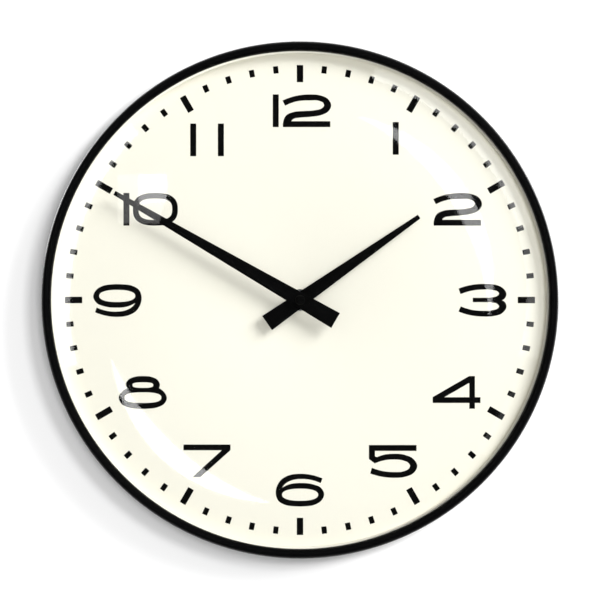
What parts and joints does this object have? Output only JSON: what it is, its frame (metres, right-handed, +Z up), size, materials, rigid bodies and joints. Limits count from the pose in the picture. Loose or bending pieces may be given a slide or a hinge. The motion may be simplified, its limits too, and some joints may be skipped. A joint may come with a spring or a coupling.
{
  "type": "wall clock",
  "caption": "Large round wall clock: slim black metal case hung on a keyhole, domed glass, cream dial with bold numerals, tapered black hands and a battery quartz movement.",
  "frame": {"origin": "where the wall screw's shank sits in the keyhole, on the plane of the wall", "axes": "+Z up, +Y into the wall, so the dial faces -Y and +X is to the right of someone reading it"},
  "size_m": [0.42, 0.066, 0.42],
  "materials": {
    "black_enamel": "satin black enamel",
    "dial_enamel": "matt cream enamel with black print",
    "lens_glass": "clear, polished",
    "white_ring": "matt",
    "hand_enamel": "matt black enamel",
    "black_rubber": "matt",
    "zinc_steel": "zinc plated",
    "brass": "turned",
    "black_moulding": "fine grain",
    "nylon": "satin natural nylon",
    "magnet": "sintered",
    "copper_wire": "enamelled copper",
    "green_board": "solder resist",
    "cell_sleeve": "printed sleeve, plain"
  },
  "bodies": {
    "clock": {"case_body": "black_enamel", "bezel_ring": "black_enamel", "bezel_screw_1": "black_enamel", "bezel_screw_2": "black_enamel", "bezel_screw_3": "black_enamel", "hanger_plate": "zinc_steel", "hanger_rivet_left": "zinc_steel", "hanger_rivet_right": "zinc_steel", "lens_gasket": "black_rubber", "lens": "lens_glass", "spacer_ring": "white_ring", "dial_plate": "dial_enamel", "rubber_washer": "black_rubber", "centre_bushing": "brass", "dial_washer": "zinc_steel", "hex_nut": "brass", "front_housing": "black_moulding", "rear_cover": "black_moulding", "middle_plate": "nylon", "stator": "zinc_steel", "coil_core": "zinc_steel", "coil_bobbin": "nylon", "coil_winding": "copper_wire", "coil_screw_left": "zinc_steel", "coil_screw_right": "zinc_steel", "circuit_board": "green_board", "chip": "black_moulding", "quartz_crystal": "zinc_steel", "negative_contact": "zinc_steel", "positive_contact": "zinc_steel"},
    "minute": {"minute_hand": "hand_enamel", "minute_collet": "brass", "cap_nut": "hand_enamel", "cannon_pinion": "brass", "centre_wheel": "nylon"},
    "hour": {"hour_hand": "hand_enamel", "hour_collet": "brass", "hour_wheel": "nylon"},
    "motion": {"minute_wheel": "nylon"},
    "setting": {"setting_knob": "black_moulding", "setting_arbor": "nylon"},
    "third": {"third_wheel": "nylon"},
    "seconds": {"seconds_wheel": "nylon"},
    "intermediate": {"intermediate_wheel": "nylon"},
    "rotor": {"rotor": "nylon", "rotor_magnet": "magnet"},
    "battery": {"battery": "cell_sleeve"}
  },
  "joints": [
    {"name": "minute_hand_turn", "type": "hinge", "parent": "clock", "child": "minute", "pos_m": [0, 0, -0.15], "axis": [0, 1, 0], "continuous": true},
    {"name": "hour_hand_turn", "type": "hinge", "parent": "clock", "child": "hour", "pos_m": [0, 0, -0.15], "axis": [0, 1, 0], "continuous": true},
    {"name": "minute_wheel_turn", "type": "hinge", "parent": "clock", "child": "motion", "pos_m": [0.009, 0, -0.15], "axis": [0, 1, 0], "continuous": true},
    {"name": "setting_knob_turn", "type": "hinge", "parent": "clock", "child": "setting", "pos_m": [0.018, 0, -0.15], "axis": [0, 1, 0], "continuous": true},
    {"name": "third_wheel_turn", "type": "hinge", "parent": "clock", "child": "third", "pos_m": [-0.00764, 0, -0.14236], "axis": [0, 1, 0], "continuous": true},
    {"name": "seconds_wheel_turn", "type": "hinge", "parent": "clock", "child": "seconds", "pos_m": [0, 0, -0.15], "axis": [0, 1, 0], "continuous": true},
    {"name": "intermediate_wheel_turn", "type": "hinge", "parent": "clock", "child": "intermediate", "pos_m": [0.00594, 0, -0.14406], "axis": [0, 1, 0], "continuous": true},
    {"name": "rotor_turn", "type": "hinge", "parent": "clock", "child": "rotor", "pos_m": [0.00736, 0, -0.13602], "axis": [0, 1, 0], "continuous": true},
    {"name": "battery_slide", "type": "slide", "parent": "clock", "child": "battery", "axis": [0, 1, 0], "range_m": [0, 0.03]}
  ],
  "couplings": [
    {"joint": "hour_hand_turn", "follows": "minute_hand_turn", "ratio": 0.083333},
    {"joint": "minute_wheel_turn", "follows": "minute_hand_turn", "ratio": -0.33333},
    {"joint": "setting_knob_turn", "follows": "minute_hand_turn", "ratio": 1},
    {"joint": "third_wheel_turn", "follows": "minute_hand_turn", "ratio": -8},
    {"joint": "seconds_wheel_turn", "follows": "minute_hand_turn", "ratio": 60},
    {"joint": "intermediate_wheel_turn", "follows": "minute_hand_turn", "ratio": -240},
    {"joint": "rotor_turn", "follows": "minute_hand_turn", "ratio": 1800}
  ]
}
